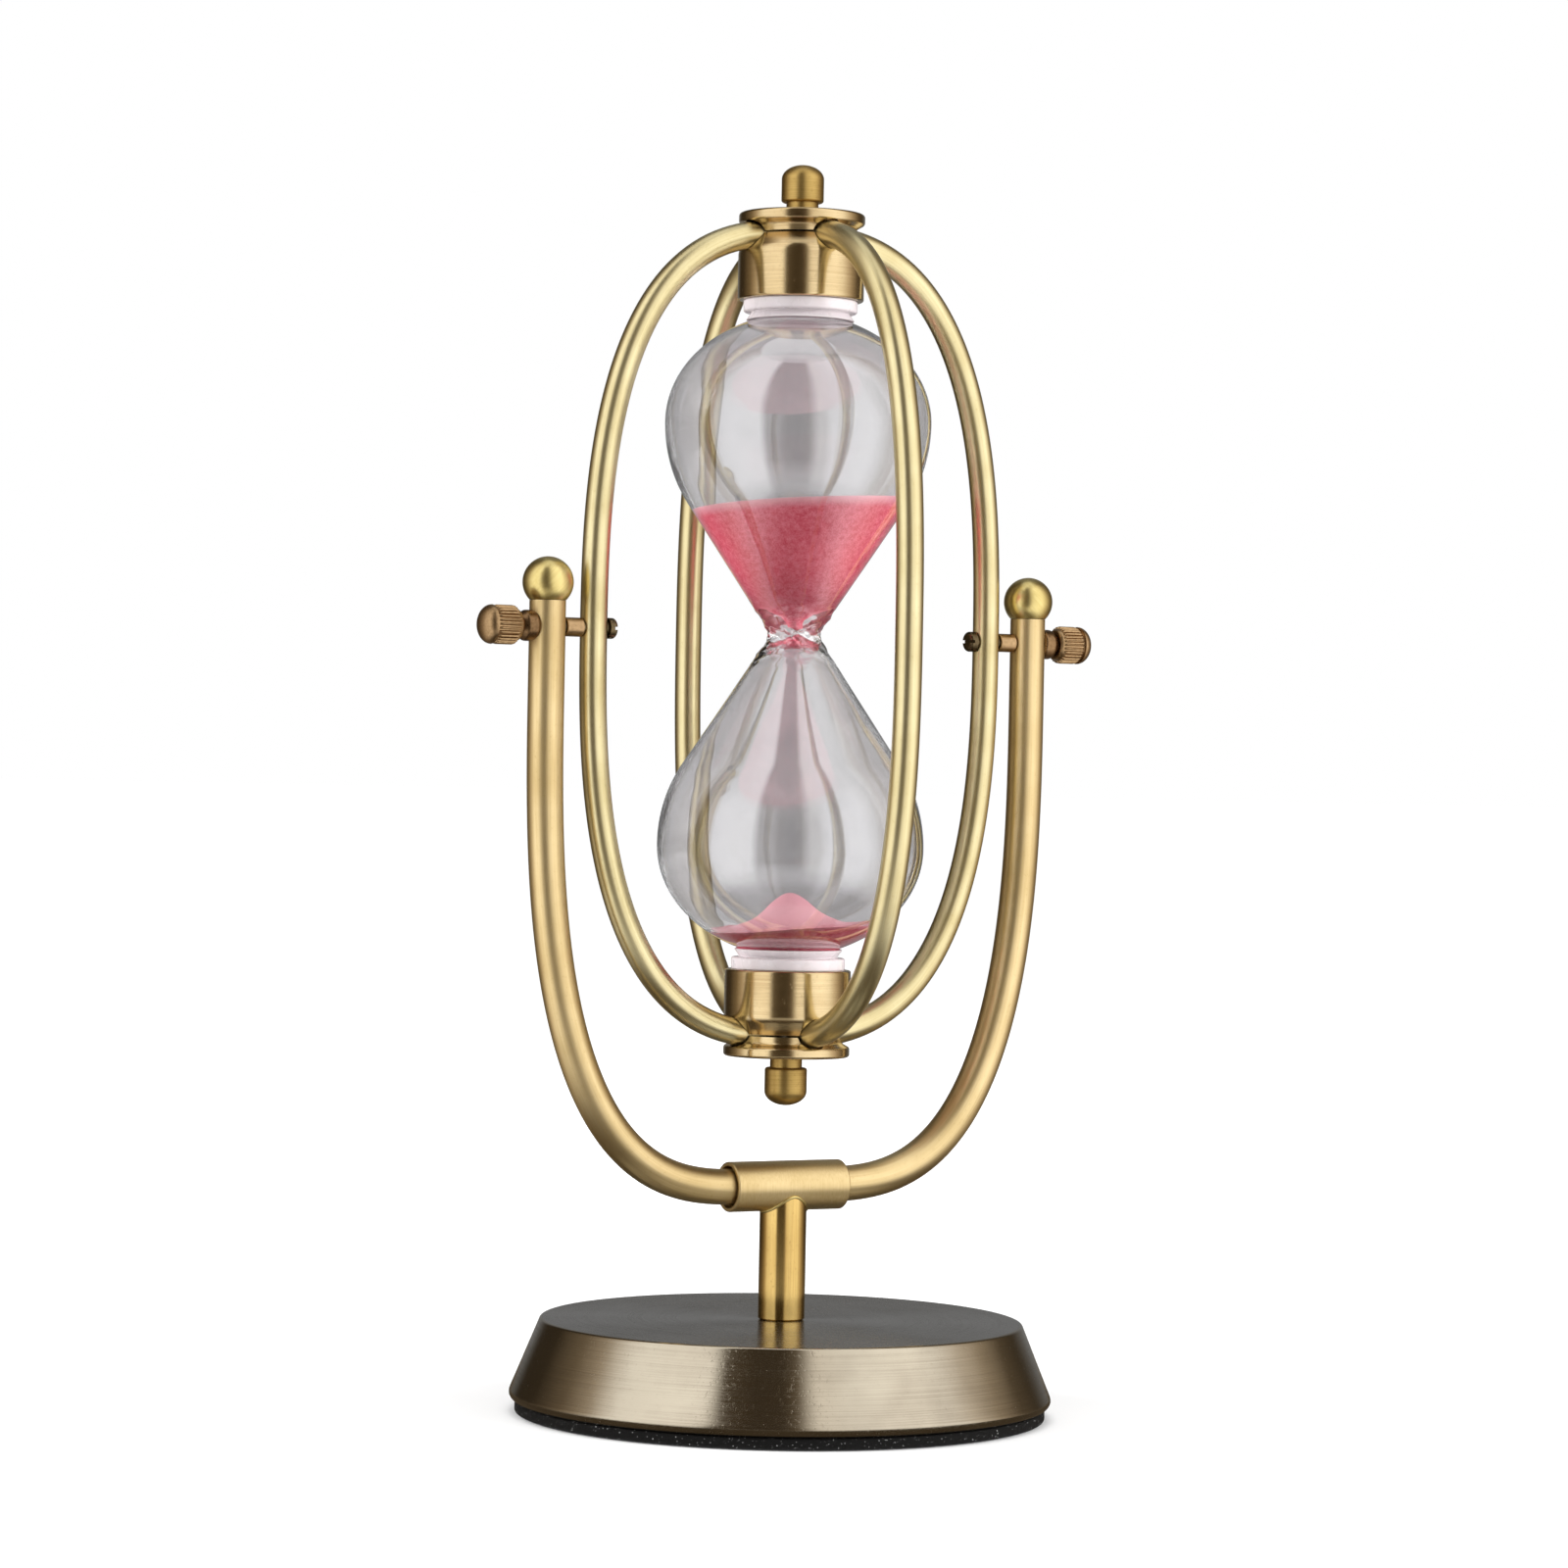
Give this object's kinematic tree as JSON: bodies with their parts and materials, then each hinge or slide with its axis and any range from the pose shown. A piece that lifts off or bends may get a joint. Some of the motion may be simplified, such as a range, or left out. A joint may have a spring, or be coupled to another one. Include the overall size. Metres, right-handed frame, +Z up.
{
  "type": "rotating hourglass",
  "caption": "Glass double bulb with sand in a cage of bent brass rods, which turns end over end on pivots in a U-shaped yoke on a weighted round base.",
  "frame": {"origin": "centre of the base pad's underside, on the table", "axes": "+Z up along the post, X along the pivot axis of the cage, -Y towards the front"},
  "size_m": [0.1562, 0.1212, 0.2798],
  "materials": {
    "pad": "matt foam rubber",
    "base_metal": "spun top and brushed side, dark bronze tone",
    "iron": "as cast",
    "steel": "turned",
    "satin_brass": "satin, pale champagne gold",
    "polished_brass": "polished, darker gold",
    "bronze": "satin, brown bronze",
    "clear_glass": "clear, hand blown",
    "pink_sand": "fine dry grains",
    "silicone": "soft sheen, translucent white",
    "cork": "matt cork"
  },
  "bodies": {
    "stand": {"base_pad": "pad", "base_cover": "base_metal", "base_weight": "iron", "base_bolt": "steel", "base_washer": "steel", "post": "satin_brass", "tee_sleeve": "satin_brass", "tee_stud": "steel", "yoke": "satin_brass", "right_ball": "satin_brass", "left_ball": "satin_brass", "right_pivot_screw": "bronze", "left_pivot_screw": "bronze", "right_spacer": "bronze", "left_spacer": "bronze"},
    "cage": {"glass": "clear_glass", "upper_sand": "pink_sand", "lower_sand": "pink_sand", "right_rod": "satin_brass", "back_rod": "satin_brass", "left_rod": "satin_brass", "front_rod": "satin_brass", "top_gasket": "silicone", "top_stopper": "cork", "top_cup": "polished_brass", "top_flange": "polished_brass", "top_cap_screw": "steel", "top_finial": "polished_brass", "bottom_gasket": "silicone", "bottom_stopper": "cork", "bottom_cup": "polished_brass", "bottom_flange": "polished_brass", "bottom_cap_screw": "steel", "bottom_finial": "polished_brass"},
    "left_collar": {"left_collar": "bronze"},
    "left_nut": {"left_thumb_nut": "bronze"},
    "right_collar": {"right_collar": "bronze"},
    "right_nut": {"right_thumb_nut": "bronze"}
  },
  "joints": [
    {"name": "cage_spin", "type": "hinge", "parent": "stand", "child": "cage", "pos_m": [0, 0, 0.1744], "axis": [1, 0, 0], "continuous": true},
    {"name": "left_collar_slide", "type": "slide", "parent": "stand", "child": "left_collar", "axis": [-1, 0, 0], "range_m": [0, 0.002]},
    {"name": "left_nut_turn", "type": "hinge", "parent": "left_collar", "child": "left_nut", "pos_m": [-0.0689, 0, 0.1744], "axis": [-1, 0, 0], "range_deg": [0, 1440]},
    {"name": "right_collar_slide", "type": "slide", "parent": "stand", "child": "right_collar", "axis": [1, 0, 0], "range_m": [0, 0.002]},
    {"name": "right_nut_turn", "type": "hinge", "parent": "right_collar", "child": "right_nut", "pos_m": [0.0689, 0, 0.1744], "axis": [1, 0, 0], "range_deg": [0, 1440]}
  ],
  "couplings": [
    {"joint": "left_nut_turn", "follows": "left_collar_slide", "rad_per_m": 12566},
    {"joint": "right_nut_turn", "follows": "right_collar_slide", "rad_per_m": 12566}
  ]
}
